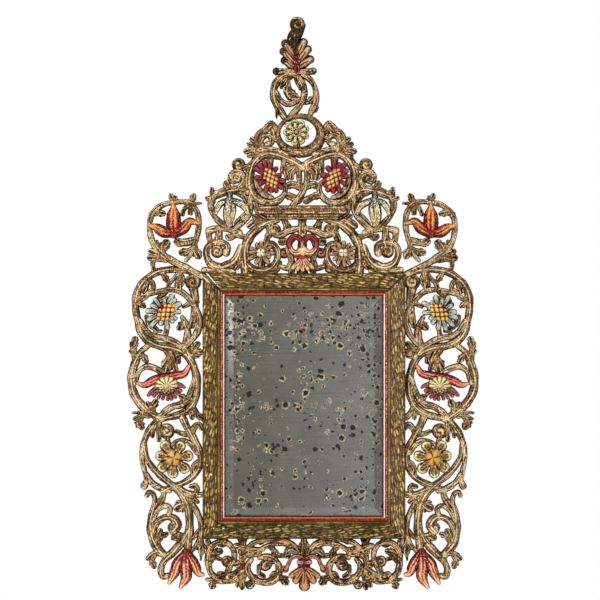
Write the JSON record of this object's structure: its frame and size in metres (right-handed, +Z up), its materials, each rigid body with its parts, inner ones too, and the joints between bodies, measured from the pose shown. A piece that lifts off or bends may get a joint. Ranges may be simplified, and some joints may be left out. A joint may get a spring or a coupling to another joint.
{
  "type": "giltwood mirror",
  "caption": "Tall wall mirror: bevelled glass in a mitred gilt frame with openwork scrolling wings, crest, finial and apron set with painted flowers.",
  "frame": {"origin": "middle of the glass, on the plane of the wall at the back of the frame", "axes": "+Z up, +X to the viewer's right, +Y out of the back into the wall"},
  "size_m": [0.7388, 0.0528, 1.2086],
  "materials": {
    "frame_gilding": "aged gold leaf over chip-carved wood",
    "carved_gilding": "worn tan gilding over carved wood",
    "red_slip": "red glaze over gesso",
    "glass": "bevelled plate",
    "silvering": "old foxed silvering",
    "back_wood": "bare aged softwood",
    "peg_wood": "whittled hardwood",
    "forged_iron": "dark forged iron",
    "red_paint": "crimson glaze over gilding",
    "blue_paint": "blue-green glaze over gilding",
    "cream_paint": "cream glaze over gilding"
  },
  "bodies": {
    "mirror": {"apron": "carved_gilding", "apron_flower": "red_paint", "apron_pegs": "peg_wood", "backboard": "back_wood", "backboard_nails": "forged_iron", "crest": "carved_gilding", "crest_bar": "carved_gilding", "crest_left_lily": "cream_paint", "crest_left_red_flower": "red_paint", "crest_left_rosette": "cream_paint", "crest_pegs": "peg_wood", "crest_right_lily": "cream_paint", "crest_right_red_flower": "red_paint", "crest_right_rosette": "cream_paint", "crest_shell": "red_paint", "crest_top_rosette": "cream_paint", "finial": "carved_gilding", "finial_pegs": "peg_wood", "frame_bottom_rail": "frame_gilding", "frame_left_stile": "frame_gilding", "frame_right_stile": "frame_gilding", "frame_top_rail": "frame_gilding", "glazing_blocks": "back_wood", "hanging_staple": "forged_iron", "left_blue_flower": "blue_paint", "left_cream_rosette": "cream_paint", "left_pendant_lily": "red_paint", "left_red_flower": "red_paint", "left_top_lily": "red_paint", "left_wing": "carved_gilding", "left_wing_pegs": "peg_wood", "mirror_glass": "glass", "mitre_keys": "peg_wood", "right_blue_flower": "blue_paint", "right_cream_rosette": "cream_paint", "right_pendant_lily": "red_paint", "right_red_flower": "red_paint", "right_top_lily": "red_paint", "right_wing": "carved_gilding", "right_wing_pegs": "peg_wood", "sight_slip_bottom": "red_slip", "sight_slip_left": "red_slip", "sight_slip_right": "red_slip", "sight_slip_top": "red_slip", "silvering": "silvering"},
    "ring": {"hanging_ring": "forged_iron"}
  },
  "joints": [
    {"name": "ring_swing", "type": "hinge", "parent": "mirror", "child": "ring", "pos_m": [0, 0.004, 0.272], "axis": [1, 0, 0], "range_deg": [0, 175]}
  ]
}
